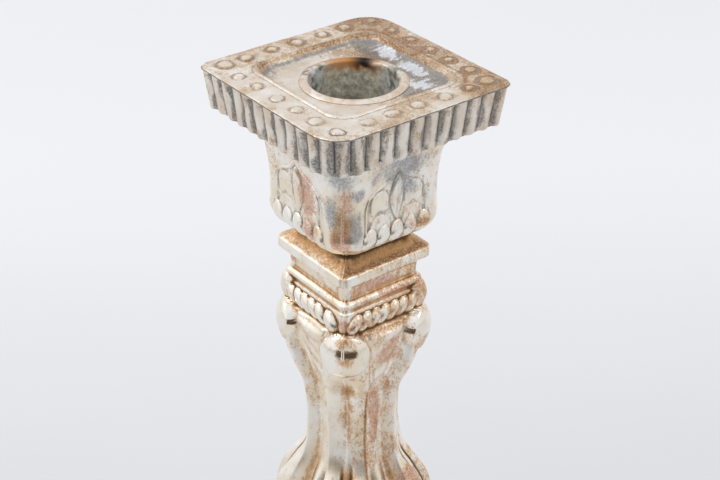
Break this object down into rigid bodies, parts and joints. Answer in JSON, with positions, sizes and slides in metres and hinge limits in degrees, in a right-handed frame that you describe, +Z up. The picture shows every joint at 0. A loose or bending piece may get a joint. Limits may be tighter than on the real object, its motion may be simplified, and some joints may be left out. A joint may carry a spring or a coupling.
{
  "type": "square candlestick",
  "caption": "Tall square candlestick with a reeded drip pan, leaf capital, beaded and domed stem, stepped base and a lift-out candle cup.",
  "frame": {"origin": "middle of the felt pad's underside, on the resting plane", "axes": "+Z up along the candlestick's axis; +X and +Y square to its four faces; the mould seam runs down the +X-Y and -X+Y corners"},
  "size_m": [0.098, 0.098, 0.245],
  "materials": {
    "pan_silver": "dull silver plate with grey and tan tarnish",
    "nozzle_metal": "dark, waxy, unpolished plate",
    "capital_silver": "silver plate worn to copper pink, tarnished in the recesses",
    "stem_silver": "bright silver plate with tan tarnish in the recesses",
    "foot_silver": "bright silver plate with tan tarnish in the recesses",
    "sleeve_brass": "bare brass",
    "steel": "plain mild steel",
    "plaster": "cast filler",
    "felt": "dark green felt"
  },
  "bodies": {
    "candlestick": {"capital": "capital_silver", "socket_sleeve": "sleeve_brass", "upper_stem": "stem_silver", "knop_collar": "stem_silver", "lower_stem": "stem_silver", "foot_collar": "stem_silver", "foot_dome": "foot_silver", "base_plinth": "foot_silver", "tie_rod": "steel", "top_nut": "steel", "top_washer": "steel", "anchor_bar": "steel", "base_washer": "steel", "base_nut": "steel", "ballast": "plaster", "base_plate": "steel", "felt_pad": "felt"},
    "nozzle": {"drip_pan": "pan_silver", "nozzle_tube": "nozzle_metal"}
  },
  "joints": [
    {"name": "nozzle_lift", "type": "slide", "parent": "candlestick", "child": "nozzle", "axis": [0, 0, 1], "range_m": [0, 0.04]}
  ]
}
